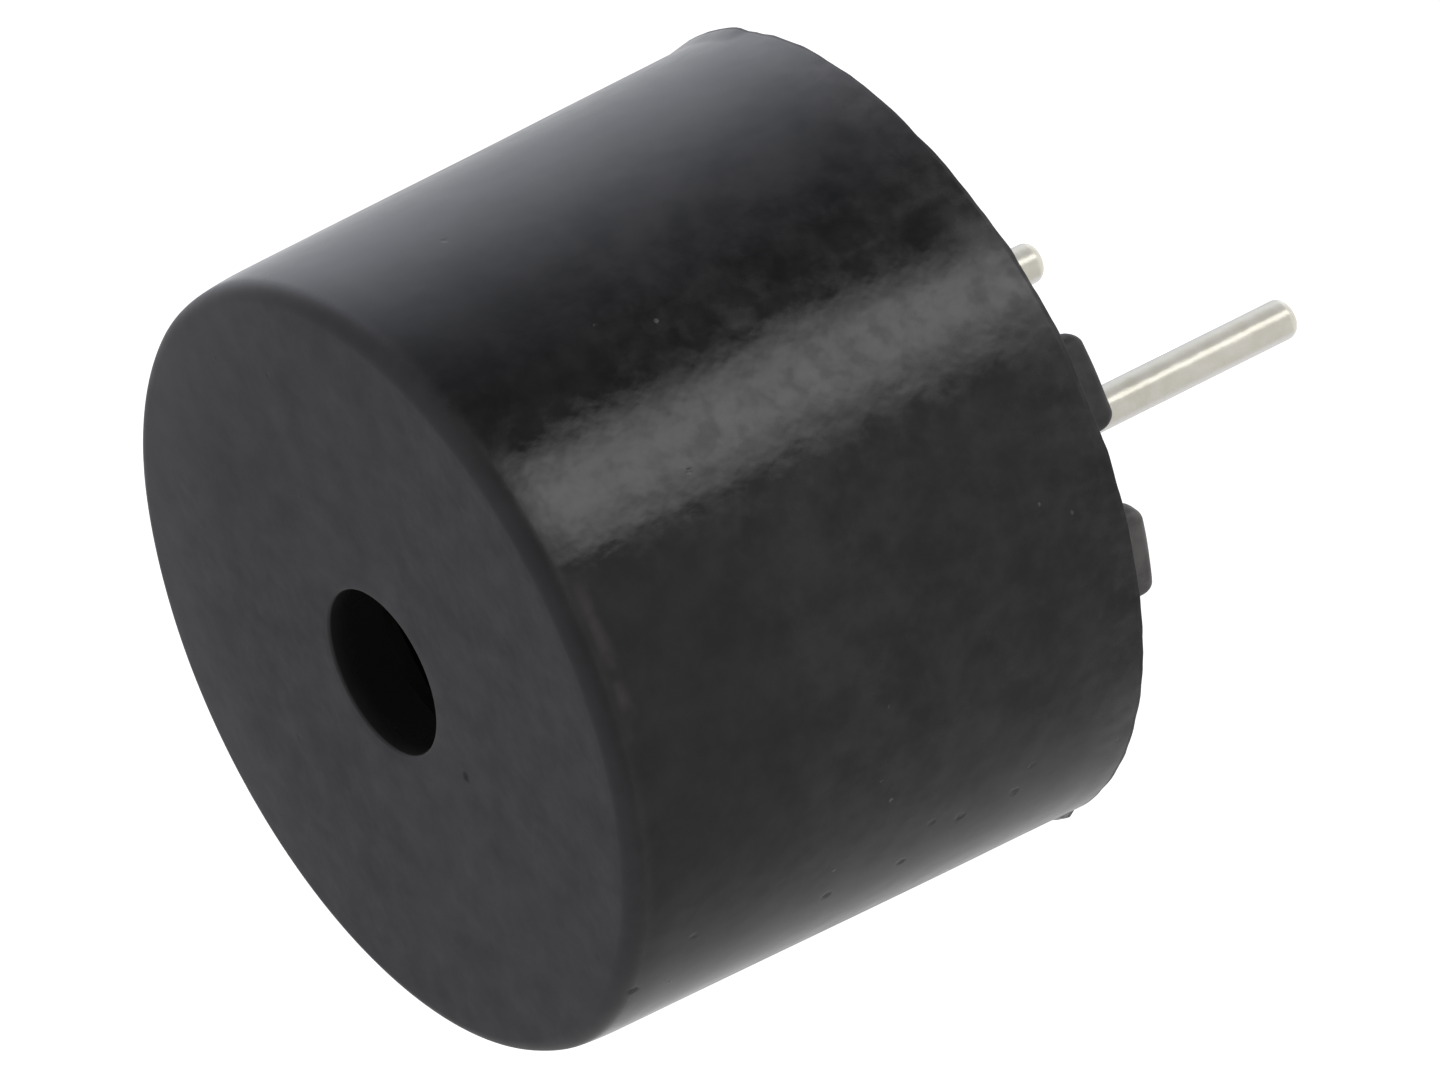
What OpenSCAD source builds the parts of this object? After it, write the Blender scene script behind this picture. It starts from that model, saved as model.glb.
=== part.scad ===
// Magnetic buzzer for a circuit board: a round moulded housing with a sound hole, and two straight leads.
// Inside, a coil on a steel core and a ring magnet drive a thin steel diaphragm.
// Millimetres. +Z runs along the axis towards the sound hole. The origin is midway between the leads,
// in the plane of the feet's undersides, where the board that the buzzer is soldered to lies.

/* [Housing] */
// Outside diameter at the open rim
rim_d = 12; // [11.4:0.1:14]
// Height from the open rim to the sound face
body_h = 8.65; // [8:0.05:11]
// Mould draft of the side, in degrees
draft = 1.1; // [0:0.1:2.5]
// Radius of the round between the side and the sound face
edge_r = 0.3; // [0.1:0.05:0.8]
// Thickness of the wall at the open rim
wall_t = 0.9; // [0.8:0.05:1.1]
// Thickness of the front wall that the sound hole goes through
crown_t = 0.9; // [0.6:0.05:1.3]
// Diameter of the sound hole
sound_hole_d = 2.5; // [1.5:0.1:3.5]
// Width of the inside step that the support ring stops against
shoulder_w = 0.3; // [0.25:0.05:0.6]
// Radius of the round inside the resonance chamber, under the front wall
chamber_r = 0.3; // [0.1:0.05:0.5]
// Chamfer that leads the inner parts into the bore
mouth_chamfer = 0.12; // [0.05:0.01:0.2]

/* [Feet] */
// Height of the feet, from the rim down to their undersides
foot_h = 0.55; // [0.35:0.05:1]
// Width of a foot along the rim
foot_w = 1.4; // [0.8:0.1:2]
// Step from the outside of the rim in to a foot
foot_inset = 0.38; // [0.2:0.02:0.5]
// Step from the bore out to a foot
foot_land = 0.06; // [0.02:0.02:0.15]
// Radius of a foot's long edges at its underside
foot_r = 0.12; // [0.05:0.01:0.2]
// Radius of a foot's ends at its underside
foot_end_r = 0.25; // [0.1:0.01:0.3]
// Angle from a lead to the middle of each foot beside it, in degrees
foot_angle = 13.5; // [11:0.5:30]

/* [Circuit board] */
// Depth of the board's outer face inside the rim
board_recess = 0.8; // [0.6:0.05:1]
// Thickness of the board
board_t = 0.8; // [0.6:0.1:1.2]
// Thickness of the copper on the board's outer face
copper_t = 0.05; // [0.03:0.01:0.1]
// Diameter of the copper round each lead
lead_pad_d = 1.6; // [1.5:0.1:1.9]
// Diameter of the copper round each coil wire
wire_pad_d = 1.1; // [1:0.1:1.4]
// Width of the copper track between those two
track_w = 0.5; // [0.3:0.1:0.8]
// Radius of the meniscus of the sealing bead round the board
bead_r = 0.4; // [0.2:0.05:0.5]
// Height that the sealing bead creeps up beside the board
bead_creep = 0.4; // [0.1:0.1:0.5]

/* [Leads] */
// Distance between the leads
lead_pitch = 6.5; // [6:0.1:7]
// Diameter of a lead
lead_d = 0.6; // [0.5:0.05:0.7]
// Length of a lead below the feet
lead_len = 4.4; // [2:0.1:12]
// Radius of the round at a lead's tip
tip_r = 0.18; // [0.05:0.01:0.24]
// Step from a lead out to its thicker shank, which fills its hole in the board
shank_step = 0.03; // [0.01:0.01:0.05]
// Diameter of the head that stops a lead on the board's inner face
head_d = 1.1; // [0.9:0.1:1.3]
// Thickness of that head
head_t = 0.25; // [0.1:0.05:0.5]
// Radius of the solder fillet round a lead
solder_r = 0.4; // [0.2:0.05:0.4]
// Height of the solder dome over a coil wire's end
dome_h = 0.25; // [0.2:0.05:0.4]
// Diameter of that solder dome
dome_d = 0.9; // [0.7:0.1:0.9]

/* [Magnet, yoke and core] */
// Thickness of the yoke plate
yoke_t = 0.8; // [0.6:0.1:1]
// Height of the ring magnet
magnet_h = 2.6; // [2.2:0.1:2.8]
// Width of the ring magnet, from its bore to its outside
magnet_w = 1.05; // [0.8:0.05:1.3]
// Chamfer on the ring magnet's edges
magnet_chamfer = 0.12; // [0.05:0.01:0.2]
// Diameter of the core's pole
core_d = 2.4; // [2:0.1:2.8]
// Diameter of the core's spigot through the yoke plate
spigot_d = 1.6; // [1.2:0.1:1.8]
// Diameter of the spigot's end where it is staked over
stake_d = 2; // [1.9:0.1:2.2]
// Thickness of the staked end
stake_t = 0.25; // [0.15:0.05:0.4]
// Air gap between the core and the diaphragm
air_gap = 0.25; // [0.15:0.05:0.35]

/* [Coil] */
// Wall of the bobbin round the core
bobbin_t = 0.3; // [0.2:0.05:0.4]
// Thickness of the bobbin's flanges
flange_t = 0.25; // [0.2:0.05:0.35]
// Depth of the winding's surface inside the flanges' edge
winding_inset = 0.25; // [0.15:0.05:0.4]
// Diameter of the enamelled wire
wire_d = 0.1; // [0.08:0.01:0.12]
// Distance that the core stands above the bobbin
core_proud = 0.15; // [0.05:0.05:0.3]
// Angle from each lead to its coil wire, in degrees
wire_angle = 50; // [40:5:70]

/* [Diaphragm] */
// Thickness of the diaphragm
diaphragm_t = 0.08; // [0.06:0.01:0.12]
// Diameter of the weight on the diaphragm
weight_d = 3.4; // [2.5:0.1:4.5]
// Height of the weight
weight_h = 0.8; // [0.5:0.1:0.9]
// Radius of the weight's upper edge
weight_r = 0.15; // [0.05:0.05:0.25]
// Wall of the support ring's sleeve round the magnet
sleeve_t = 0.25; // [0.22:0.01:0.4]
// Thickness of the ledge that carries the diaphragm over the magnet
ledge_t = 0.45; // [0.35:0.05:0.6]
// Width of that ledge
ledge_w = 0.5; // [0.3:0.05:0.8]
// Thickness of the lip that centres the diaphragm
lip_t = 0.15; // [0.1:0.01:0.18]
// Height of that lip above the ledge
lip_h = 0.3; // [0.2:0.05:0.4]

/* [Clearances] */
// Round the support ring in the housing's bore
ring_gap = 0.05; // [0.02:0.01:0.1]
// Round the magnet and the yoke plate in the support ring
magnet_gap = 0.05; // [0.02:0.01:0.1]
// Between the magnet's top and the ledge
ledge_gap = 0.05; // [0.02:0.01:0.1]
// Round the bobbin's flanges in the magnet
flange_gap = 0.15; // [0.1:0.05:0.3]
// Round the core in the bobbin, and round its spigot in the yoke plate
core_gap = 0.03; // [0.01:0.01:0.05]
// Round the diaphragm in its lip
diaphragm_gap = 0.05; // [0.02:0.01:0.08]
// Round the board in the housing's bore
board_gap = 0.1; // [0.06:0.01:0.12]
// Round the leads' shanks and the coil wires in the board and its copper
hole_gap = 0.05; // [0.02:0.01:0.1]
// Round the leads' heads in the yoke plate
yoke_gap = 0.25; // [0.15:0.05:0.3]
// Round the staked end in the board
stake_gap = 0.2; // [0.1:0.05:0.3]

/* [Hidden] */
$fn = 96;
small_fn = 48;
// Thinnest edge of solder and of the sealing bead
feather = 0.03;
// Overshoot of cutting tools past a face
over = 0.2;

// Levels, from the feet up
rim_z = foot_h;
board_z = rim_z + board_recess;
board_top = board_z + board_t;
copper_z = board_z - copper_t;
yoke_top = board_top + yoke_t;
magnet_top = yoke_top + magnet_h;
ledge_z = magnet_top + ledge_gap;
seat_z = ledge_z + ledge_t;
shoulder_z = seat_z + lip_h;
pole_z = seat_z - air_gap;
bobbin_top = pole_z - core_proud;
winding_z = yoke_top + flange_t;
winding_h = bobbin_top - flange_t - winding_z;
face_z = rim_z + body_h;
crown_z = face_z - crown_t;

// Radii, from the outside in
rim_r = rim_d / 2;
face_r = rim_r - body_h * tan(draft);
bore_r = rim_r - wall_t;
step_r = bore_r - shoulder_w;
board_r = bore_r - board_gap;
ring_r = bore_r - ring_gap;
lip_r = ring_r - lip_t;
diaphragm_r = lip_r - diaphragm_gap;
ledge_r = lip_r - ledge_w;
sleeve_r = ring_r - sleeve_t;
magnet_r = sleeve_r - magnet_gap;
magnet_bore_r = magnet_r - magnet_w;
flange_r = magnet_bore_r - flange_gap;
winding_r = flange_r - winding_inset;
barrel_r = core_d / 2 + core_gap + bobbin_t;

// Places of the leads and of the coil wires, the positive ones; the negative ones are half a turn away
lead_r = lead_d / 2;
shank_r = lead_r + shank_step;
lead_at = [lead_pitch / 2, 0];
wire_reach = winding_r - wire_d;
wire_at = wire_reach * [cos(wire_angle), sin(wire_angle)];
wire_hole_r = wire_d / 2 + hole_gap;
// Depth of a coil wire's end in its solder dome
wire_dip = dome_h / 2;

// Copies its children at one lead, and at the other
module at_both_leads() {
    for (turn = [0, 180]) rotate([0, 0, turn]) children();
}

// A ring of rectangular section
module ring(outer, inner, z, height) {
    translate([0, 0, z]) rotate_extrude()
        translate([inner, 0]) square([outer - inner, height]);
}

// A concave fillet's section in the corner of two walls, both along the positive axes from the origin
module meniscus(radius) {
    reach = radius + feather;
    difference() {
        square(reach);
        translate([reach, reach]) circle(radius, $fn = small_fn);
    }
}

// Section of the housing's outside: the drafted side runs into the sound face round a true arc
module housing_section() {
    slope = tan(draft);
    arc_x = face_r + edge_r * slope - edge_r / cos(draft);
    arc_z = face_z - edge_r;
    polygon([
        [0, rim_z], [rim_r, rim_z],
        [arc_x + edge_r * cos(draft), arc_z + edge_r * sin(draft)],
        [arc_x, face_z], [0, face_z]
    ]);
    translate([arc_x, arc_z]) circle(edge_r, $fn = small_fn);
}

// Section of the housing's inside: mouth, bore, shoulder and resonance chamber
module cavity_section() {
    polygon([
        [0, rim_z - over], [bore_r + mouth_chamfer + over, rim_z - over], [bore_r, rim_z + mouth_chamfer],
        [bore_r, shoulder_z], [step_r, shoulder_z], [step_r, crown_z - chamber_r],
        [step_r - chamber_r, crown_z], [0, crown_z]
    ]);
    translate([step_r - chamber_r, crown_z - chamber_r]) circle(chamber_r, $fn = small_fn);
}

// A foot: a block of the rim's own curve, rounded at its underside both along and across the rim
module foot() {
    inner = bore_r + foot_land;
    outer = rim_r - foot_inset;
    intersection() {
        rotate_extrude() {
            translate([inner, foot_r]) square([outer - inner, foot_h - foot_r + over]);
            translate([inner + foot_r, 0]) square([outer - inner - 2 * foot_r, foot_h]);
            for (x = [inner + foot_r, outer - foot_r])
                translate([x, foot_r]) circle(foot_r, $fn = small_fn);
        }
        rotate([90, 0, 90]) linear_extrude(rim_r) {
            translate([-foot_w / 2, foot_end_r]) square([foot_w, foot_h - foot_end_r + over]);
            translate([foot_end_r - foot_w / 2, 0]) square([foot_w - 2 * foot_end_r, foot_h]);
            for (side = [-1, 1])
                translate([side * (foot_w / 2 - foot_end_r), foot_end_r])
                    circle(foot_end_r, $fn = small_fn);
        }
    }
}

module housing() {
    color("#2c2c2e") {
        difference() {
            rotate_extrude() housing_section();
            rotate_extrude() cavity_section();
            translate([0, 0, crown_z - over])
                cylinder(d = sound_hole_d, h = crown_t + 2 * over);
        }
        at_both_leads()
            for (side = [-1, 1]) rotate([0, 0, side * foot_angle]) foot();
    }
}

// Adhesive that holds the board: a meniscus under its edge, and what crept up beside it
module sealing_bead() {
    color("#3a342c") rotate_extrude() {
        translate([bore_r, board_z]) rotate(180) meniscus(bead_r);
        translate([board_r, board_z - feather]) square([board_gap, bead_creep + feather]);
    }
}

module circuit_board() {
    color("#1f6a43") difference() {
        translate([0, 0, board_z]) cylinder(r = board_r, h = board_t);
        translate([0, 0, board_z - over]) {
            cylinder(d = stake_d + 2 * stake_gap, h = board_t + 2 * over);
            at_both_leads() connection_holes(board_t + 2 * over);
        }
    }
}

// The holes for one lead and its coil wire
module connection_holes(height) {
    translate(lead_at) cylinder(r = shank_r + hole_gap, h = height, $fn = small_fn);
    translate(wire_at) cylinder(r = wire_hole_r, h = height, $fn = small_fn);
}

// Copper round a lead and round its coil wire, and the track that joins them
module pad() {
    run = wire_at - lead_at;
    color("#c98a52") translate([0, 0, copper_z]) difference() {
        union() {
            translate(lead_at) {
                cylinder(d = lead_pad_d, h = copper_t, $fn = small_fn);
                rotate([0, 0, atan2(run[1], run[0])])
                    translate([0, -track_w / 2, 0]) cube([norm(run), track_w, copper_t]);
            }
            translate(wire_at) cylinder(d = wire_pad_d, h = copper_t, $fn = small_fn);
        }
        translate([0, 0, -over]) connection_holes(copper_t + 2 * over);
    }
}

module pad_positive() { pad(); }
module pad_negative() { rotate([0, 0, 180]) pad(); }

// A headed wire: its head stops on the board's inner face, its shank ends level with the copper,
// and its tip is rounded
module lead() {
    color("#d9d8cf") translate(lead_at) rotate_extrude($fn = small_fn) {
        translate([0, board_top]) square([head_d / 2, head_t]);
        translate([0, copper_z]) square([shank_r, board_top - copper_z]);
        translate([0, tip_r - lead_len]) square([lead_r, copper_z + lead_len - tip_r]);
        translate([0, -lead_len]) square([lead_r - tip_r, tip_r]);
        translate([lead_r - tip_r, tip_r - lead_len]) intersection() {
            circle(tip_r, $fn = small_fn);
            translate([0, -tip_r]) square([tip_r, 2 * tip_r]);
        }
    }
}

module lead_positive() { lead(); }
module lead_negative() { rotate([0, 0, 180]) lead(); }

module lead_solder() {
    color("#c9cacb") translate([lead_at[0], lead_at[1], copper_z]) mirror([0, 0, 1])
        rotate_extrude($fn = small_fn) translate([lead_r, 0]) meniscus(solder_r);
}

module lead_solder_positive() { lead_solder(); }
module lead_solder_negative() { rotate([0, 0, 180]) lead_solder(); }

// A dome of solder over a coil wire's end, with the wire's socket in it
module wire_solder() {
    ball_r = (pow(dome_d / 2, 2) + dome_h * dome_h) / (2 * dome_h);
    color("#c9cacb") translate([wire_at[0], wire_at[1], copper_z]) difference() {
        translate([0, 0, ball_r - dome_h]) sphere(ball_r, $fn = small_fn);
        translate([-ball_r, -ball_r, 0]) cube(2 * ball_r);
        translate([0, 0, -wire_dip]) cylinder(d = wire_d, h = wire_dip + over, $fn = small_fn);
    }
}

module wire_solder_positive() { wire_solder(); }
module wire_solder_negative() { rotate([0, 0, 180]) wire_solder(); }

// The yoke plate carries the magnet and the core, and clears the leads' heads and the coil wires
module yoke_plate() {
    color("#8f9296") difference() {
        translate([0, 0, board_top]) cylinder(r = magnet_r, h = yoke_t);
        translate([0, 0, board_top - over]) {
            cylinder(d = spigot_d + 2 * core_gap, h = yoke_t + 2 * over);
            at_both_leads() {
                translate(lead_at) cylinder(r = head_d / 2 + yoke_gap, h = yoke_t + 2 * over);
                translate(wire_at) cylinder(r = 2 * wire_hole_r, h = yoke_t + 2 * over, $fn = small_fn);
            }
        }
    }
}

// The core stands on the yoke plate, and its spigot is staked over underneath
module pole_core() {
    stake_z = board_top - stake_t;
    color("#a3a5a8") {
        translate([0, 0, yoke_top]) cylinder(d = core_d, h = pole_z - yoke_top);
        translate([0, 0, board_top]) cylinder(d = spigot_d, h = yoke_t);
        translate([0, 0, stake_z]) cylinder(d1 = spigot_d, d2 = stake_d, h = stake_t);
    }
}

module magnet_ring() {
    c = magnet_chamfer;
    color("#4a4744") rotate_extrude() polygon([
        [magnet_bore_r, yoke_top + c], [magnet_bore_r + c, yoke_top],
        [magnet_r - c, yoke_top], [magnet_r, yoke_top + c],
        [magnet_r, magnet_top - c], [magnet_r - c, magnet_top],
        [magnet_bore_r + c, magnet_top], [magnet_bore_r, magnet_top - c]
    ]);
}

// A barrel between two flanges; the coil's wires leave through holes in the lower one
module bobbin() {
    bore = core_d / 2 + core_gap;
    color("#e8e2d0") difference() {
        union() {
            ring(barrel_r, bore, yoke_top, bobbin_top - yoke_top);
            ring(flange_r, bore, yoke_top, flange_t);
            ring(flange_r, bore, bobbin_top - flange_t, flange_t);
        }
        translate([0, 0, yoke_top - over]) at_both_leads()
            translate(wire_at) cylinder(r = wire_hole_r, h = flange_t + 2 * over, $fn = small_fn);
    }
}

// The winding, with its outermost turns showing as ridges
module coil_winding() {
    turns = floor(winding_h / wire_d);
    pitch = winding_h / turns;
    color("#b5622d") translate([0, 0, winding_z]) rotate_extrude() {
        translate([barrel_r, 0]) square([winding_r - wire_d / 2 - barrel_r, winding_h]);
        for (turn = [0 : turns - 1])
            translate([winding_r - wire_d / 2, (turn + 0.5) * pitch]) circle(d = wire_d, $fn = 24);
    }
}

// One end of the coil's wire, from under the winding down into its solder
module coil_wire() {
    bottom = copper_z - wire_dip;
    color("#c26a2e") translate([wire_at[0], wire_at[1], bottom])
        cylinder(d = wire_d, h = winding_z - bottom, $fn = small_fn);
}

module coil_wire_positive() { coil_wire(); }
module coil_wire_negative() { rotate([0, 0, 180]) coil_wire(); }

// A sleeve round the magnet, with a ledge over it for the diaphragm and a lip that centres it
module support_ring() {
    color("#4b4d50") rotate_extrude() polygon([
        [sleeve_r, board_top], [ring_r, board_top], [ring_r, shoulder_z], [lip_r, shoulder_z],
        [lip_r, seat_z], [ledge_r, seat_z], [ledge_r, ledge_z], [sleeve_r, ledge_z]
    ]);
}

module diaphragm() {
    color("#b8babd") translate([0, 0, seat_z]) cylinder(r = diaphragm_r, h = diaphragm_t);
}

// The weight welded to the diaphragm's middle, which tunes its note
module diaphragm_weight() {
    edge = weight_d / 2 - weight_r;
    color("#9c9ea2") translate([0, 0, seat_z + diaphragm_t]) rotate_extrude() {
        square([weight_d / 2, weight_h - weight_r]);
        square([edge, weight_h]);
        translate([edge, weight_h - weight_r]) circle(weight_r, $fn = small_fn);
    }
}

housing();
sealing_bead();
circuit_board();
pad_positive();
pad_negative();
lead_positive();
lead_negative();
lead_solder_positive();
lead_solder_negative();
yoke_plate();
pole_core();
magnet_ring();
bobbin();
coil_winding();
coil_wire_positive();
coil_wire_negative();
wire_solder_positive();
wire_solder_negative();
support_ring();
diaphragm();
diaphragm_weight();
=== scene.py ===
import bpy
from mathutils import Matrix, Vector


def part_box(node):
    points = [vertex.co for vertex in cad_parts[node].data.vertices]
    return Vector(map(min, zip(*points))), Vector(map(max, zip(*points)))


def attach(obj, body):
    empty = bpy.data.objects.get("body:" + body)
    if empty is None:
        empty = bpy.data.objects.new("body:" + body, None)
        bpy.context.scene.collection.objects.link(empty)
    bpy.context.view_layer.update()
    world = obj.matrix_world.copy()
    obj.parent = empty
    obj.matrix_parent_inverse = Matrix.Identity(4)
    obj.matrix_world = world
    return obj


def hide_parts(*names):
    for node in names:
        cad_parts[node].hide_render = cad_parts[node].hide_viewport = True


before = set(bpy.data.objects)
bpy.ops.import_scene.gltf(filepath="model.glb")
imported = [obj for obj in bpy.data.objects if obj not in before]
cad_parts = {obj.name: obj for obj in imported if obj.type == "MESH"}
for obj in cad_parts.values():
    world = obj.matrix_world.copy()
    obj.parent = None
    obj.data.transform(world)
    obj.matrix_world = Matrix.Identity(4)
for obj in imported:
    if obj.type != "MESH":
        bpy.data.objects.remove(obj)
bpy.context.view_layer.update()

# Magnetic buzzer: the looks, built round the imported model. +Z is the axis towards the sound hole, so the open rim, the
# feet and the leads point down. Lengths below are in millimetres, and MM turns them into Blender's metres.
import math

import bpy
import numpy as np
from mathutils import Matrix, Vector, noise

MM = 0.001


def box_mm(node):
    """A CAD node's lowest and highest corners, in millimetres."""
    lo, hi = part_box(node)
    return np.array(lo) / MM, np.array(hi) / MM


# ---------------------------------------------------------------- sizes

shell_hi = box_mm("housing")[1]
ring_hi = box_mm("support_ring")[1]
board_lo, board_hi = box_mm("circuit_board")
pad_lo = box_mm("pad_positive")[0]
lead_lo, lead_hi = box_mm("lead_positive")

RIM_R, RIM_Z = 6.0, 0.55                       # the open rim: its outside radius, and its level over the feet
BOX_R = 5.996                                  # the side goes no further out than this along X or Y
FACE_Z = float(shell_hi[2])                    # the sound face
DRAFT = math.tan(math.radians(1.1))
EDGE_R, EDGE_H = 0.27, 0.33                    # round between the side and the sound face, its width and height
EASE_Z, EASE = 8.4, 0.09                       # from this level up the side leans in a little towards that round
HOLE_R, HOLE_LIP = 1.25, 0.05                  # the sound hole and the tiny round at its mouth
RIM_LIP = 0.016                                # the tiny round at the rim's outer edge
BORE_R, STEP_R = 5.1, 4.8                      # inside, below and above the step that the support ring stops against
SHOULDER_Z, CROWN_Z = float(ring_hi[2]), FACE_Z - 0.9
CROWN_ROUND = 0.3                              # round between the chamber's wall and its crown
CHAMFER = 0.12                                 # inside the mouth

FOOT_IN, FOOT_OUT = 5.16, 5.62                 # a foot's inner and outer wall
FOOT_MID, FOOT_WALL = (FOOT_OUT + FOOT_IN) / 2, (FOOT_OUT - FOOT_IN) / 2
FOOT_HALF, FOOT_CORNER = 0.73, 0.225           # half its length; round of its corners, seen along the axis
FOOT_ROUND, FOOT_END = 0.12, 0.22              # round of its lower edge, along the walls and at the ends
FOOT_TOP = (FOOT_IN, RIM_Z + BORE_R + CHAMFER - FOOT_IN)     # where its inner wall meets the mouth's chamfer
FEET_AT = (13.3, -14.25, 166.7, 194.25)        # degrees round the axis
FOOT_REACH = 11.9                              # degrees from a foot's middle within which the columns are its own

BOARD_Z, BOARD_TOP, BOARD_R = float(board_lo[2]), float(board_hi[2]), float(board_hi[0])
COPPER_Z = float(pad_lo[2])                    # the copper's lower face, which the solder stands on
SEAL_UP = 0.4                                  # how far the adhesive goes up beside the board

LEAD_R, TIP_R = 0.3, 0.18                      # the wire, and the round at its tip
LEAD_X = float(lead_lo[0] + lead_hi[0]) / 2
TIP_Z, HEAD_Z = float(lead_lo[2]), float(lead_hi[2])
HEAD_R = float(lead_hi[0] - lead_lo[0]) / 2
SHANK = 0.03                                   # how far the shank in the board stands out of the wire
CUT_HEIGHT, CUT_REACH = 0.018, 0.3             # slant of the tip, and how far up the wire it fades out

FILLET_REACH, FILLET_CLIMB = 0.44, 0.43        # a lead's solder, along the copper and along the lead
DOME_R, DOME_H, DOME_NUB = 0.45, 0.25, 0.02    # a coil wire's solder, and the wire's end under its skin
DOME_SHIFT = (0.03, -0.02)                     # its top stands this much off centre
BEAD_REACH, BEAD_CLIMB = 0.43, 0.43            # the sealing bead, along the board and up the bore
WIRE_AT = 3.2 * np.array([math.cos(math.radians(50)), math.sin(math.radians(50))])     # the coil wire's solder


# ---------------------------------------------------------------- mesh helpers

def wobble(x, y, z, size, seed=0.0):
    """Smooth noise from -1 to 1 at a point, with features about size across."""
    return noise.noise(Vector((x / size + seed, y / size - 3.1 * seed, z / size + 1.7 * seed)))


def smooth(x, lo, hi):
    """0 below lo, 1 above hi, and a smooth ramp between."""
    t = min(max((x - lo) / (hi - lo), 0.0), 1.0)
    return t * t * (3 - 2 * t)


def arc(cr, cz, radius, start, end, steps):
    """Points (r, z) on an arc, from one angle to another in degrees."""
    angles = np.radians(np.linspace(start, end, steps + 1))
    return [(cr + radius * math.cos(a), cz + radius * math.sin(a)) for a in angles]


def line(a, b, steps):
    """Points (r, z) from a to b, both left out."""
    a, b = np.array(a), np.array(b)
    return [tuple(a + (b - a) * t) for t in np.linspace(0, 1, steps + 1)[1:-1]]


def turned_points(rows, cols, ring_at):
    """A grid of points round the axis; ring_at(x, y, angle) gives the points (r, z) in the direction (x, y)."""
    points = np.zeros((rows, cols, 3))
    for j in range(cols):
        angle = 2 * math.pi * j / cols
        x, y = math.cos(angle), math.sin(angle)
        for i, (r, z) in enumerate(ring_at(x, y, angle)):
            points[i, j] = (r * x, r * y, z)
    return points


def place(points, x, y, turn=0.0):
    """Points moved to (x, y), then turned round the axis by turn degrees."""
    c, s = math.cos(math.radians(turn)), math.sin(math.radians(turn))
    moved = points + np.array([x, y, 0])
    return moved @ np.array([[c, s, 0], [-s, c, 0], [0, 0, 1]])


def grid_object(name, points, loop_rows=False, caps=()):
    """A mesh over rows and columns of points. Columns always close on themselves, rows if loop_rows; each of caps is
    (row, middle), a fan from the first row (0) or the last row (1) to a middle point."""
    rows, cols = points.shape[:2]
    verts = [tuple(p) for p in points.reshape(-1, 3) * MM]
    faces = []
    for i in range(rows if loop_rows else rows - 1):
        k = (i + 1) % rows
        for j in range(cols):
            m = (j + 1) % cols
            faces.append((i * cols + j, i * cols + m, k * cols + m, k * cols + j))
    for row, middle in caps:
        centre = len(verts)
        verts.append(tuple(np.array(middle) * MM))
        start = (rows - 1) * cols if row else 0
        for j in range(cols):
            m = (j + 1) % cols
            faces.append((start + j, start + m, centre) if row else (start + m, start + j, centre))
    mesh = bpy.data.meshes.new(name)
    mesh.from_pydata(verts, [], faces)
    mesh.update()
    mesh.shade_smooth()
    mesh.set_sharp_from_angle(angle=math.radians(35))
    obj = bpy.data.objects.new(name, mesh)
    bpy.context.scene.collection.objects.link(obj)
    return obj


def stand_in(obj, node, slot):
    """A finer mesh of a CAD node: it hides the node, rides with it and takes its slot."""
    obj.data.materials.append(looks[slot])
    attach(obj, "root")
    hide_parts(node)


# ---------------------------------------------------------------- node helpers

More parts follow.
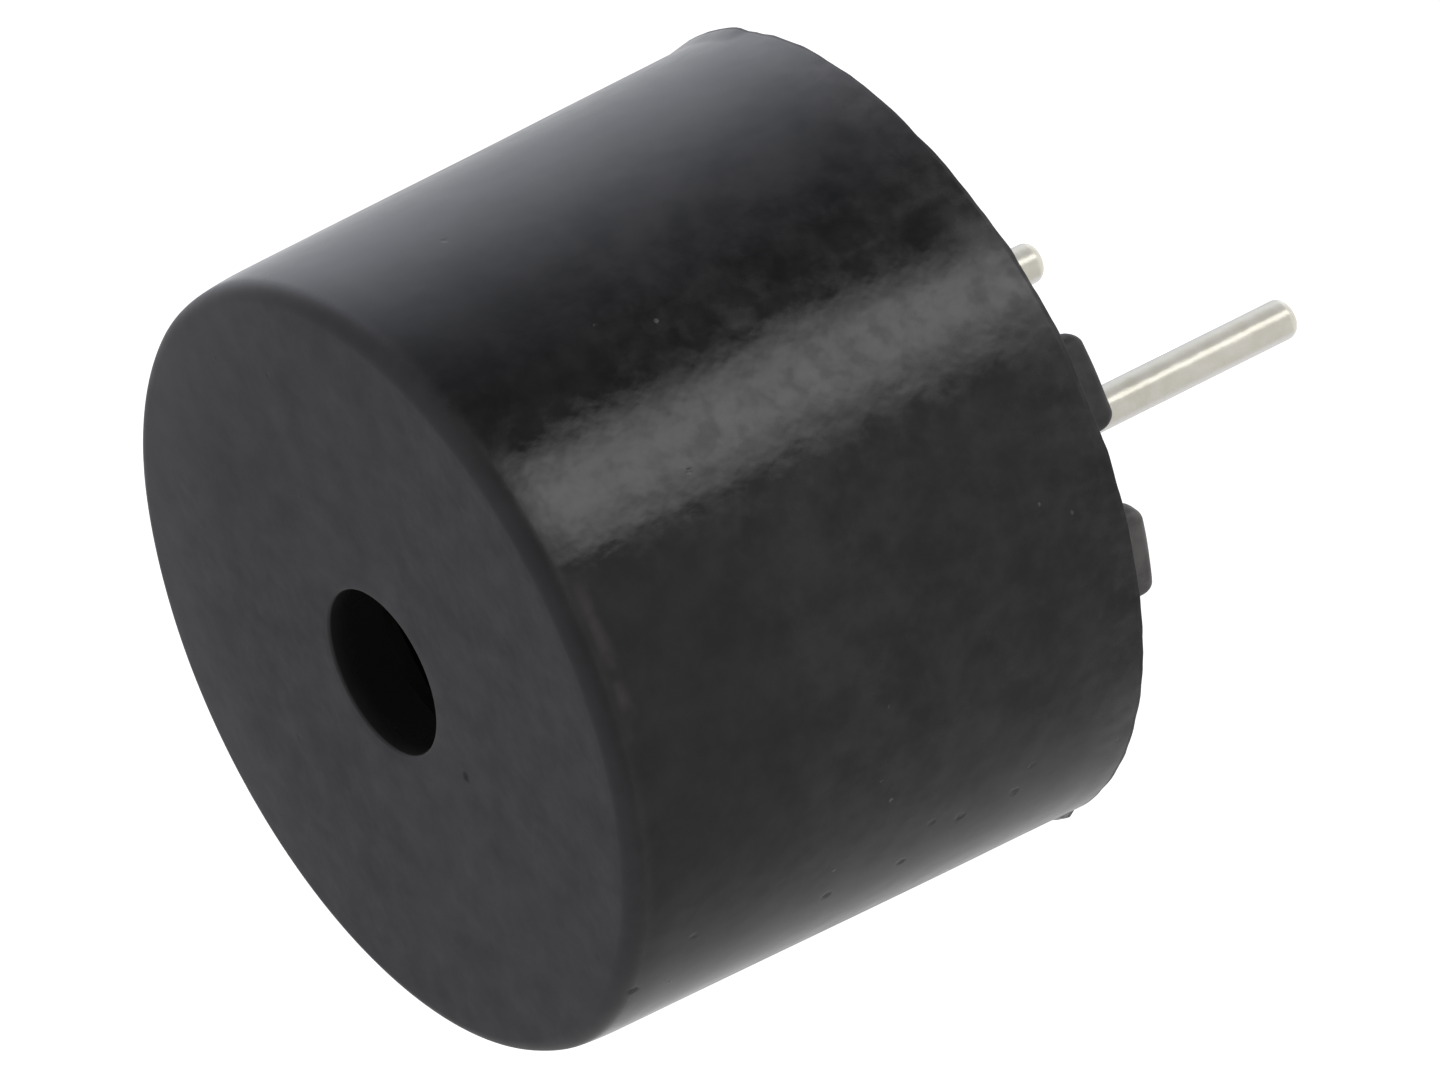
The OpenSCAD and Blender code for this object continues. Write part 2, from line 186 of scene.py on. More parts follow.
class Net:
    """Short calls for building a node tree. What they return is an output socket."""

    def __init__(self, tree):
        self.tree = tree
        tree.nodes.clear()

    def put(self, kind, inputs=None, **props):
        """A new node with its properties set and its inputs set or linked. It returns the node."""
        n = self.tree.nodes.new(kind)
        for key, value in props.items():
            setattr(n, key, value)
        for key, value in (inputs or {}).items():
            if isinstance(value, bpy.types.NodeSocket):
                self.tree.links.new(value, n.inputs[key])
            else:
                n.inputs[key].default_value = value
        return n

    def math(self, op, *values):
        return self.put("ShaderNodeMath", dict(enumerate(values)), operation=op).outputs[0]

    def times(self, first, *others):
        for value in others:
            first = self.math("MULTIPLY", first, value)
        return first

    def plus(self, first, *others):
        for value in others:
            first = self.math("ADD", first, value)
        return first

    def less(self, a, b):
        return self.math("SUBTRACT", a, b)

    def scaled(self, vector, by):
        return self.put("ShaderNodeVectorMath", {0: vector, "Scale": by}, operation="SCALE").outputs[0]

    def joined(self, first, *others):
        """The sum of vectors or colours."""
        for value in others:
            first = self.put("ShaderNodeVectorMath", {0: first, 1: value}, operation="ADD").outputs[0]
        return first

    def place(self, scale=(1, 1, 1), offset=(0, 0, 0)):
        """Object coordinates, scaled and moved."""
        at = self.put("ShaderNodeTexCoord").outputs["Object"]
        return self.put("ShaderNodeMapping", {"Vector": at, "Scale": scale, "Location": offset}).outputs[0]

    def axes(self, space="Object"):
        """X, Y and Z, each by itself."""
        at = self.put("ShaderNodeTexCoord").outputs[space]
        return tuple(self.put("ShaderNodeSeparateXYZ", {"Vector": at}).outputs)

    def length(self, x, y):
        return self.math("SQRT", self.plus(self.times(x, x), self.times(y, y)))

    def along(self, x, y, azimuth):
        """How far (x, y) reaches towards an azimuth, in degrees from +X towards +Y."""
        a = math.radians(azimuth)
        return self.plus(self.times(x, math.cos(a)), self.times(y, math.sin(a)))

    def wave(self, value, pitch):
        """A sine wave over a length, with its pitch in millimetres."""
        return self.math("SINE", self.times(value, 2 * math.pi / (pitch * MM)))

    def noise(self, size, detail=3.0, rough=0.55, at=None, output=0):
        """Noise with features about size millimetres across, from 0 to 1."""
        inputs = {"Vector": at or self.place(), "Scale": 1 / (size * MM), "Detail": detail, "Roughness": rough}
        return self.put("ShaderNodeTexNoise", inputs).outputs[output]

    def cells(self, size, at=None):
        """The distance to the nearest of points strewn about size millimetres apart."""
        inputs = {"Vector": at or self.place(), "Scale": 1 / (size * MM)}
        return self.put("ShaderNodeTexVoronoi", inputs).outputs["Distance"]

    def pebbles(self, size, softness):
        """As cells, with soft valleys between the points."""
        inputs = {"Vector": self.place(), "Scale": 1 / (size * MM), "Smoothness": softness}
        return self.put("ShaderNodeTexVoronoi", inputs, feature="SMOOTH_F1").outputs["Distance"]

    def step(self, value, lo, hi, to_lo=0.0, to_hi=1.0):
        """value from lo..hi mapped smoothly to to_lo..to_hi; lo may be the greater one."""
        inputs = {"Value": value, "From Min": lo, "From Max": hi, "To Min": to_lo, "To Max": to_hi}
        return self.put("ShaderNodeMapRange", inputs, interpolation_type="SMOOTHSTEP").outputs[0]

    def step_mm(self, length, lo, hi, to_lo=0.0, to_hi=1.0):
        """As step, for a length with lo and hi in millimetres."""
        return self.step(length, lo * MM, hi * MM, to_lo, to_hi)

    def mix(self, fac, a, b):
        """From the number a to the number b."""
        return self.put("ShaderNodeMix", {0: fac, 2: a, 3: b}, data_type="FLOAT").outputs[0]

    def blend(self, fac, a, b):
        """From the colour a to the colour b."""
        return self.put("ShaderNodeMix", {0: fac, 6: a, 7: b}, data_type="RGBA").outputs[2]

    def mottle(self, field, a, b, lo=0.3, hi=0.7):
        """From the colour a to the colour b as a noise goes from lo to hi."""
        return self.blend(self.step(field, lo, hi), a, b)

    def relief(self, *layers):
        """A surface normal from layers of (height, depth), one over another; depth is in millimetres."""
        normal = None
        for height, depth in layers:
            inputs = {"Height": height, "Distance": depth * MM}
            if normal is not None:
                inputs["Normal"] = normal
            normal = self.put("ShaderNodeBump", inputs).outputs[0]
        return normal


def material(name, build):
    """A material whose surface is one Principled shader; build(net) gives the shader's inputs."""
    m = bpy.data.materials.new(name)
    m.use_nodes = True
    net = Net(m.node_tree)
    shader = net.put("ShaderNodeBsdfPrincipled", build(net))
    net.put("ShaderNodeOutputMaterial", {"Surface": shader.outputs[0]})
    return m


# ---------------------------------------------------------------- materials

def build_housing_plastic(net):
    """Black moulded plastic: a satin side with the mould's pebbled grain, glossier towards the duller, finely eroded
    sound face. Dust sits on it in specks, the side has small nicks and dents, and the rim's lip and the edge of the
    sound face are rubbed lighter. Painted light lies in its colour too: one side of the face and a line along the
    face's round are painted lighter, the side just over the rim and the feet are painted lighter over their wear, one
    foot most, and the sound hole's wall and the chamber's crown are painted pale."""
    x, y, z = net.axes()
    r = net.length(x, y)

    def towards(azimuth, far, near):
        """0 to 1 round the side, as the angle to an azimuth falls from far to near; all in degrees."""
        side = net.math("DIVIDE", net.along(x, y, azimuth), r)
        return net.step(side, math.cos(math.radians(far)), math.cos(math.radians(near)))

    def rather(share, mask):
        """A mask that is never less than 1 - share."""
        return net.plus(1 - share, net.times(share, mask))

    def not_quite(share, mask):
        """1 where the mask is 0, down to 1 - share where it is 1."""
        return net.less(1.0, net.times(share, mask))

    # regions
    face = net.step_mm(z, FACE_Z - 0.43, FACE_Z - 0.08)
    calm = net.plus(towards(102, 52, 40), towards(-75, 45, 25))            # two smoother stretches of the side
    # darker colour and lower roughness from 5.6 mm up, fading out over the face's round
    glossy = net.times(net.step_mm(z, 5.6, 7.4), net.less(1.0, face))
    low_down = net.step_mm(z, RIM_Z + 1.3, RIM_Z + 0.2)
    hole_wall = net.step_mm(r, HOLE_R + 0.09, HOLE_R + 0.02)
    depth_in_hole = net.step_mm(z, FACE_Z - 0.1, CROWN_Z)
    # the chamber's crown, seen through the sound hole: painted pale, as painted light
    chamber = net.times(net.step_mm(r, HOLE_R + 0.07, HOLE_R + 0.17), net.step_mm(r, STEP_R + 0.15, STEP_R + 0.05),
                        net.step_mm(z, CROWN_Z + 0.1, CROWN_Z))

    # wear, and painted light
    patchy = net.step(net.noise(0.32, 3, 0.55), 0.35, 0.65)
    # painted light: the outer part of the sound face is painted lighter towards 160 degrees
    face_painted_light = net.times(face, net.step_mm(r, 3.4, 5.9), towards(160, 90, 20))
    face_edge = net.times(face, net.step_mm(r, 5.52, 5.64))                # where the face turns into its round
    flecks = net.times(low_down, net.step(net.noise(0.25, 3, 0.5), 0.45, 0.75))
    # the side just over the rim: rubbed lighter in patches and painted lighter as painted light, none towards -3
    # degrees and less towards 51
    worn_rim_and_painted_light = net.times(net.step_mm(z, RIM_Z + 0.95, RIM_Z + 0.25), not_quite(1.0, towards(-3, 36, 22)),
                         not_quite(0.6, towards(51, 12, 6)), rather(0.55, patchy))
    rubbed = net.times(net.step_mm(z, RIM_Z + 0.10, RIM_Z + 0.02), net.step(net.noise(0.3, 4, 0.65), 0.50, 0.70))
    # the feet: lighter in patches, partly rubbed and partly painted light
    feet = net.times(net.step_mm(z, RIM_Z, RIM_Z - 0.1), rather(0.5, patchy))
    # painted highlight: a lighter line on the face's round near 9 degrees, broken by noise
    painted_round_highlight = net.times(net.step_mm(z, FACE_Z - 0.62, FACE_Z - 0.42), net.step_mm(z, FACE_Z - 0.28, FACE_Z - 0.42),
                       towards(9, 14, 5), net.step(net.noise(0.45, 2, 0.5), 0.25, 0.6))

    # small marks, all with ragged outlines
    ragged = net.joined(net.place(), net.scaled(net.noise(0.06, 2, 0.5, output="Color"), 0.07 * MM))
    strewn = net.noise(2.4, 2, 0.5, at=net.place(offset=(3 * MM, 1 * MM, 0)))
    specks = net.times(net.step(net.cells(0.95, ragged), 0.045, 0.015), net.step(strewn, 0.46, 0.56))
    dents = net.times(net.step(net.cells(0.6, ragged), 0.20, 0.08), towards(-44, 7, 4),
                      net.step(net.noise(0.9, 2, 0.5), 0.45, 0.55))
    nicks = net.times(net.step(net.cells(1.3, ragged), 0.062, 0.012), net.step(net.noise(3.1, 2, 0.5), 0.50, 0.58))

    shade = net.mottle(net.noise(0.8, 4, 0.66), (0.0032, 0.0031, 0.0033, 1), (0.0168, 0.0160, 0.0164, 1))
    # painted light: the foot near -14 degrees is painted much lighter than the other feet
    foot_wear_and_painted_light = net.blend(towards(-14, 16, 8), (0.035, 0.033, 0.032, 1), (0.095, 0.090, 0.086, 1))
    # painted light: the sound hole's wall, painted lighter than the side and lighter still deeper in
    hole_painted_light = net.blend(depth_in_hole, (0.020, 0.019, 0.019, 1), (0.026, 0.025, 0.024, 1))
    for share, mask, colour in (                # from the ground up
        (0.45, glossy, (0.0015, 0.0015, 0.0016, 1)),
        (1.0, face_painted_light, (0.045, 0.044, 0.045, 1)),
        (0.5, face_edge, (0.032, 0.031, 0.032, 1)),
        (0.35, flecks, (0.036, 0.034, 0.034, 1)),
        (0.8, worn_rim_and_painted_light, (0.045, 0.043, 0.043, 1)),
        (0.3, rubbed, (0.040, 0.038, 0.037, 1)),
        (1.0, feet, foot_wear_and_painted_light),
        (0.6, painted_round_highlight, (0.044, 0.039, 0.039, 1)),
        (1.0, hole_wall, hole_painted_light),
        (1.0, chamber, (0.30, 0.29, 0.27, 1)),
        (0.5, specks, (0.110, 0.094, 0.087, 1)),
    ):
        shade = net.blend(net.times(share, mask), shade, colour)

    side_rough = net.step(net.noise(0.35, 3, 0.55), 0.32, 0.68, 0.09, 0.28)
    side_rough = net.mix(net.times(0.75, calm), side_rough, 0.185)
    side_rough = net.less(side_rough, net.times(0.05, glossy))
    side_rough = net.plus(side_rough, net.times(0.07, low_down, net.less(1.0, calm)))
    face_rough = net.plus(0.345, net.times(0.24, net.noise(0.55, 4, 0.6)))
    rough = net.mix(face, side_rough, face_rough)
    rim_or_speck = net.math("MAXIMUM", net.step_mm(z, RIM_Z + 0.06, RIM_Z + 0.02), specks)
    rough = net.plus(rough, net.times(0.25, rim_or_speck), net.times(0.30, dents))

    grain = not_quite(0.75, calm)
    relief = net.relief(
        (net.times(grain, net.noise(1.5, 2, 0.5)), 0.014),
        (net.times(grain, net.noise(0.42, 2, 0.5)), 0.0085),
        (net.times(grain, net.pebbles(0.26, 0.7)), 0.0022),
        (net.noise(0.07, 3, 0.6), 0.0006),
        (net.less(1.0, nicks), 0.005),
        (net.less(1.0, dents), 0.006),
        (specks, 0.005),
    )
    return {"Base Color": shade, "Roughness": rough, "IOR": 1.5, "Normal": relief}


def build_tinned_wire(net):
    """Matt tin over steel wire: fine drawing marks along it and a soft, uneven plated skin; one flank is painted
    paler, a painted highlight, and the other is painted greyer, painted shade."""
    x, y, _ = net.axes()
    drawn = net.noise(0.05, 3, 0.6, at=net.place((1, 1, 0.06)))
    skin = net.noise(0.35, 3, 0.55)
    off = net.less(x, net.times(net.math("SIGN", x), LEAD_X * MM))         # from the lead's own axis
    flank = net.along(off, y, -60)
    # painted highlight: the flank towards -60 degrees is painted paler; painted shade: the opposite flank is painted
    # greyer
    pale = net.step_mm(flank, 0.80 * LEAD_R, 0.97 * LEAD_R)
    dull = net.step_mm(flank, -0.6 * LEAD_R, -0.95 * LEAD_R, 0.0, 0.6)
    tone = net.mottle(skin, (0.75, 0.73, 0.62, 1), (0.82, 0.80, 0.71, 1))
    tone = net.blend(dull, net.blend(pale, tone, (0.95, 0.94, 0.89, 1)), (0.58, 0.58, 0.55, 1))
    return {
        "Base Color": tone,
        "Metallic": 0.3,
        "Roughness": net.plus(0.17, net.times(0.10, skin)),
        "Normal": net.relief((skin, 0.012), (drawn, 0.0012)),
    }


def build_solder(net):
    """Solder: bright where it froze smooth, frosted and faintly grained elsewhere."""
    frost = net.noise(0.25, 4, 0.6)
    return {
        "Base Color": net.mottle(frost, (0.66, 0.67, 0.68, 1), (0.80, 0.80, 0.79, 1), 0.35, 0.65),
        "Metallic": 1.0,
        "Roughness": net.step(frost, 0.3, 0.7, 0.16, 0.36),
        "Normal": net.relief((frost, 0.01), (net.cells(0.06), 0.0025)),
    }


def build_adhesive(net):
    """Dark sealing adhesive: glossy, faintly brown, with a slack uneven surface and small bubbles."""
    slack = net.noise(0.9, 3, 0.5)
    bubbles = net.step(net.cells(0.35), 0.05, 0.13)
    return {
        "Base Color": net.mottle(slack, (0.020, 0.016, 0.012, 1), (0.036, 0.027, 0.019, 1)),
        "Roughness": net.step(slack, 0.3, 0.7, 0.12, 0.26),
        "Normal": net.relief((slack, 0.03), (bubbles, 0.006)),
        "Coat Weight": 0.3,
        "Coat Roughness": 0.08,
    }


def build_board_laminate(net):
    """Green solder resist over glass laminate: the weave shows faintly, and dust and flux dull it in places."""
    x, y, _ = net.axes()
    weave = net.times(net.wave(x, 0.55), net.wave(y, 0.55))
    patch = net.noise(1.6, 4, 0.6)
    fine = net.noise(0.12, 3, 0.6)
    resist = net.mottle(patch, (0.010, 0.085, 0.040, 1), (0.016, 0.125, 0.060, 1))
    return {
        "Base Color": net.blend(net.step(weave, -1, 1, 0.0, 0.22), resist, (0.035, 0.19, 0.10, 1)),
        "Roughness": net.step(net.plus(patch, fine), 0.7, 1.3, 0.22, 0.42),
        "Normal": net.relief((fine, 0.002), (weave, 0.003)),
        "Coat Weight": 0.4,
        "Coat Roughness": 0.15,
    }


def build_copper(net):
    """Copper land: levelled tin round the lead, and lacquered, slightly stained copper away from it."""
    x, y, _ = net.axes()
    reach = net.length(net.less(net.math("ABSOLUTE", x), LEAD_X * MM), y)
    tin_edge = net.plus(reach, net.times(net.less(net.noise(0.3), 0.5), 0.25 * MM))
    stain = net.noise(0.5, 4, 0.65)
    copper = net.mottle(stain, (0.72, 0.36, 0.20, 1), (0.86, 0.50, 0.30, 1))
    return {
        "Base Color": net.blend(net.step_mm(tin_edge, 0.74, 0.86), (0.74, 0.74, 0.72, 1), copper),
        "Metallic": 1.0,
        "Roughness": net.step(stain, 0.3, 0.7, 0.22, 0.42),
        "Normal": net.relief((stain, 0.006), (net.noise(0.05, 3, 0.6), 0.0015)),
    }


def build_plated_steel(net):
    """Turned and stamped steel under zinc: rings from the tool, and a dull, slightly patchy plate."""
    x, y, _ = net.axes()
    rings = net.wave(net.length(x, y), 0.09)
    patch = net.noise(0.8, 4, 0.6)
    return {
        "Base Color": net.mottle(patch, (0.50, 0.51, 0.53, 1), (0.63, 0.64, 0.66, 1)),
        "Metallic": 1.0,
        "Roughness": net.step(patch, 0.3, 0.7, 0.30, 0.44),
        "Normal": net.relief((net.noise(0.07), 0.002), (rings, 0.0015)),
    }


def build_spring_steel(net):
    """Rolled strip: straight rolling marks and a faint, patchy straw stain."""
    patch = net.noise(0.9, 4, 0.6)
    return {
        "Base Color": net.mottle(patch, (0.60, 0.60, 0.61, 1), (0.66, 0.63, 0.57, 1), 0.35, 0.75),
        "Metallic": 1.0,
        "Roughness": net.step(patch, 0.3, 0.7, 0.24, 0.36),
        "Normal": net.relief((net.noise(0.04, 3, 0.6, at=net.place((0.05, 1, 1))), 0.0015)),
    }


def build_ferrite(net):
    """Pressed and fired ferrite: charcoal, finely grained, with small pores and lighter ground patches."""
    patch = net.noise(0.7, 4, 0.6)
    pores = net.step(net.cells(0.3), 0.04, 0.10)
    return {
        "Base Color": net.mottle(patch, (0.035, 0.033, 0.032, 1), (0.065, 0.062, 0.060, 1)),
        "Roughness": net.step(patch, 0.3, 0.7, 0.48, 0.66),
        "Normal": net.relief((net.cells(0.05), 0.003), (pores, 0.01)),
    }


def build_bobbin_plastic(net):
    """Natural nylon: creamy, a little translucent, with a smooth moulded skin."""
    cloud = net.noise(0.8, 3, 0.5)
    return {
        "Base Color": net.mottle(cloud, (0.66, 0.60, 0.46, 1), (0.78, 0.73, 0.60, 1)),
        "Roughness": net.step(cloud, 0.3, 0.7, 0.34, 0.48),
        "Subsurface Weight": 0.15,
        "Subsurface Radius": (0.6 * MM, 0.4 * MM, 0.2 * MM),
        "Normal": net.relief((net.noise(0.12), 0.002)),
    }


def build_enamelled_copper(net):
    """Enamelled winding wire: warm copper under clear lacquer, each turn a little different."""
    turns = net.noise(0.1, 2, 0.6, at=net.place((0.08, 0.08, 1)))
    return {
        "Base Color": net.mottle(turns, (0.52, 0.17, 0.06, 1), (0.74, 0.30, 0.12, 1)),
        "Metallic": 0.85,
        "Roughness": net.step(turns, 0.3, 0.7, 0.20, 0.34),
        "Coat Weight": 0.7,
        "Coat Roughness": 0.06,
        "Normal": net.relief((net.wave(net.axes()[2], 0.1), 0.003)),
    }


def build_blackened_steel(net):
    """Turned steel under a thin black oxide, with fine rings from the tool and a few rubbed places."""
    lathe = net.noise(0.03, 3, 0.6, at=net.place((0.06, 0.06, 1)))
    patch = net.noise(0.9, 4, 0.6)
    return {
        "Base Color": net.mottle(patch, (0.030, 0.030, 0.033, 1), (0.085, 0.083, 0.082, 1), 0.3, 0.75),
        "Metallic": 0.7,
        "Roughness": net.step(patch, 0.3, 0.7, 0.34, 0.50),
        "Normal": net.relief((lathe, 0.002)),
    }


BUILDERS = {
    "housing_plastic": build_housing_plastic,
    "tinned_wire": build_tinned_wire,
    "solder": build_solder,
    "adhesive": build_adhesive,
    "board_laminate": build_board_laminate,
    "copper": build_copper,
    "plated_steel": build_plated_steel,
    "spring_steel": build_spring_steel,
    "ferrite": build_ferrite,
    "bobbin_plastic": build_bobbin_plastic,
    "enamelled_copper": build_enamelled_copper,
    "blackened_steel": build_blackened_steel,
}
looks = {slot: material(slot + "_look", build) for slot, build in BUILDERS.items()}


# ---------------------------------------------------------------- housing

def side_r(z):
    """The side's radius at a level."""
    return RIM_R - (z - RIM_Z) * DRAFT - EASE * max(0.0, z - EASE_Z) ** 2


def outer_rows():
    """The section, as (r, z), from the chamber's crown through the sound hole, over the face, and down the side to
    the feet."""
    slope = DRAFT + 2 * EASE * (FACE_Z - EDGE_H - EASE_Z)
    start = math.degrees(math.atan(slope * EDGE_H / EDGE_R))    # the round begins where its slope is the side's
    top_z = FACE_Z - EDGE_H * (1 - math.sin(math.radians(start)))
    flat_r = side_r(top_z) - EDGE_R * math.cos(math.radians(start))
    rows = [(HOLE_R, CROWN_Z)] + line((HOLE_R, CROWN_Z), (HOLE_R, FACE_Z - HOLE_LIP), 6)
    rows += arc(HOLE_R + HOLE_LIP, FACE_Z - HOLE_LIP, HOLE_LIP, 180, 90, 5)
    rows += line((HOLE_R + HOLE_LIP, FACE_Z), (flat_r, FACE_Z), 26)
    for a in np.radians(np.linspace(90, start, 15)):
        rows.append((flat_r + EDGE_R * math.cos(a), FACE_Z - EDGE_H * (1 - math.sin(a))))
    rows += [(side_r(z), z) for z in np.linspace(top_z, EASE_Z, 9)[1:]]
    low = (side_r(RIM_Z + 1.4), RIM_Z + 1.4)                    # the rows lie closer below this level
    rows += line((side_r(EASE_Z), EASE_Z), low, 24) + [low]
    rows += line(low, (RIM_R, RIM_Z + RIM_LIP), 18)
    rows += arc(RIM_R - RIM_LIP, RIM_Z + RIM_LIP, RIM_LIP, 0, -90, 4)
    return rows + line((RIM_R - RIM_LIP, RIM_Z), (FOOT_OUT, RIM_Z), 5)


def foot_rows():
    """The foot's own section from its outer wall round to its inner one."""
    e = FOOT_ROUND
    rows = [(FOOT_OUT, RIM_Z)] + line((FOOT_OUT, RIM_Z), (FOOT_OUT, e), 4)
    rows += arc(FOOT_OUT - e, e, e, 0, -90, 7)
    rows += line((FOOT_OUT - e, 0), (FOOT_IN + e, 0), 3)
    rows += arc(FOOT_IN + e, e, e, -90, -180, 7)
    return rows + line((FOOT_IN, e), FOOT_TOP, 4) + [FOOT_TOP]


def inner_rows():
    """The section from the feet up the bore, over the step and along the chamber's crown."""
    corners = [(BORE_R, RIM_Z + CHAMFER), (BORE_R, SHOULDER_Z), (STEP_R, SHOULDER_Z), (STEP_R, CROWN_Z - CROWN_ROUND)]
    rows = line(FOOT_TOP, corners[0], 2)
    for a, b, steps in zip(corners, corners[1:], (8, 2, 4)):
        rows += [a] + line(a, b, steps)
    rows += arc(STEP_R - CROWN_ROUND, CROWN_Z - CROWN_ROUND, CROWN_ROUND, 0, 90, 6)
    return rows + line((STEP_R - CROWN_ROUND, CROWN_Z), (HOLE_R, CROWN_Z), 8)


def housing_columns():
    """Columns round the axis, in order: (the foot's angle, the column's, millimetres along the rim from the foot's
    middle) by a foot, and (None, the column's angle, 0) away from the feet."""
    half, e = FOOT_HALF, FOOT_END
    side = [0.0, 0.15, 0.3, 0.42] + [half - e * (1 - math.sin(t)) for t in np.radians(np.linspace(0, 90, 12))]
    side += [half + gap for gap in (0.012, 0.05, 0.12, 0.21, 0.3)]
    offsets = sorted({round(s * v, 6) for v in side for s in (-1, 1)})
    cols = [(a % 360, a % 360 + math.degrees(v / FOOT_OUT), v) for a in FEET_AT for v in offsets]
    for a in np.arange(0, 360, 1.0):
        if all(abs((a - f + 180) % 360 - 180) >= FOOT_REACH for f in FEET_AT):
            cols.append((None, a, 0.0))
    return sorted(cols, key=lambda c: c[1] % 360)


def foot_level(r, z, u):
    """The level of a foot's surface at row (r, z) and offset u: one round runs right round its lower edge."""
    c = FOOT_CORNER
    p = max(0.0, (abs(u) - (FOOT_HALF - c)) / c)
    q = max(0.0, (abs(r - FOOT_MID) - (FOOT_WALL - c)) / c)
    p, q = min(p, 1.0), min(q, 1.0)
    p, q = p * math.sqrt(1 - q * q / 2), q * math.sqrt(1 - p * p / 2)
    out = math.hypot(p, q)                      # 1 at the foot's outline
    end = (p / out) ** 2 if out > 0 else 0.0    # 1 at an end, 0 along a wall
    e = FOOT_ROUND + (FOOT_END - FOOT_ROUND) * end
    if z > FOOT_ROUND:
        return RIM_Z - (RIM_Z - z) * (RIM_Z - e) / (RIM_Z - FOOT_ROUND) if z < RIM_Z else z
    near = max(0.0, 1 - c * (1 - out) / e)
    return e * (1 - math.sqrt(max(0.0, 1 - near * near)))


def foot_plan(r, u):
    """A point by a foot, at radius r and offset u, moved so that the foot's corners are round along the axis."""
    c, fade_from, fade_to = FOOT_CORNER, 1.3, 2.5
    p = (abs(u) - (FOOT_HALF - c)) / c
    q = (abs(r - FOOT_MID) - (FOOT_WALL - c)) / c
    if 0 < p < fade_to and 0 < q < fade_to:
        fade = 1 - smooth(max(p, q), fade_from, fade_to)
        p1, q1 = min(p, 1), min(q, 1)
        p += fade * (p * math.sqrt(1 - q1 * q1 / 2) - p)
        q += fade * (q * math.sqrt(1 - p1 * p1 / 2) - q)
        u = math.copysign(FOOT_HALF - c + p * c, u)
        r = FOOT_MID + math.copysign(FOOT_WALL - c + q * c, r - FOOT_MID)
    return r, u


def span(azimuth, start, full, easing, end):
    """0 to 1 and back to 0 round the axis, at the given degrees."""
    return smooth(azimuth, start, full) * (1 - smooth(azimuth, easing, end))


def rim_flash(azimuth, rise):
    """How far the side stands out near the rim, by the mould's flash and by its own unevenness; rise is the height
    over the rim."""
    a = (azimuth + 180) % 360 - 180
    jag = 0.8 + 0.3 * (0.5 + 0.5 * wobble(a / 3, rise * 2, 0, 1.0, 4.2))
    lip = 0.060 * jag * span(a, 93.5, 96.5, 111, 119) * max(0.0, 1 - rise / 0.33)
    sunk = -0.020 * span(a, 92, 112, 136, 156) * (1 - smooth(rise, 3, 8))
    nub = 0.07 * span(a, -74.5, -72.8, -71, -69) * (1 - smooth(rise, 0.05, 0.16))
    ridge = 0.010 * span(a, -69, -65, -46, -34) * (1 - smooth(rise, 0.1, 0.6))
    ridge += 0.022 * span(a, 13, 20, 28, 34) * (1 - smooth(rise, 0.1, 1.6))
    flat = -0.034 * span(a, 34, 45, 50, 80) * (1 - smooth(rise, 0.2, 3.2))
    return lip + sunk + nub + ridge + flat


def out_of_round(azimuth):
    """Two stretches of the housing that stand out a little."""
    a = (azimuth + 180) % 360 - 180
    return 0.019 * span(a, -82, -70, -62, -40) + 0.036 * span(a, 112, 128, 150, 178)


def worn(r, z, x, y, azimuth):
    """A point of the housing in the direction (x, y), moved as a real moulding departs from its drawing."""
    if r > 5.5 and z > RIM_Z - 0.01:
        r += out_of_round(azimuth) * smooth(r, 5.5, 5.7)
    if r > 5.7 and z < FACE_Z - 0.4:            # the side and the rim's outer edge
        rise = z - RIM_Z
        at_rim = 1 - smooth(rise, 0.0, 0.12)
        r += rim_flash(azimuth, rise) * (1 - smooth(RIM_R - r, 0.12, 0.3))
        r += 0.004 * wobble(6 * x, 6 * y, z, 2.2, 1.3) * smooth(FACE_Z - z, 0.4, 1.0)
        r -= 0.012 * (1 - smooth(rise, 0.5, 3.0))
        r -= 0.030 * (1 - smooth(rise, 0.0, 0.35)) * max(0.0, wobble(6 * x, 6 * y, z * 0.5, 0.45, 2.7) - 0.15)
        z += at_rim * (0.018 * wobble(6 * x, 6 * y, 0, 0.8, 7.9) - 0.022)
        z += 0.016 * at_rim * wobble(6 * x, 6 * y, 0, 0.28, 3.3)
        z += 0.016 * span(azimuth, 42, 47, 72, 80) * (1 - smooth(rise, 0.0, 0.2))
        r *= min(1.0, BOX_R / (r * max(abs(x), abs(y))))
    return r, z


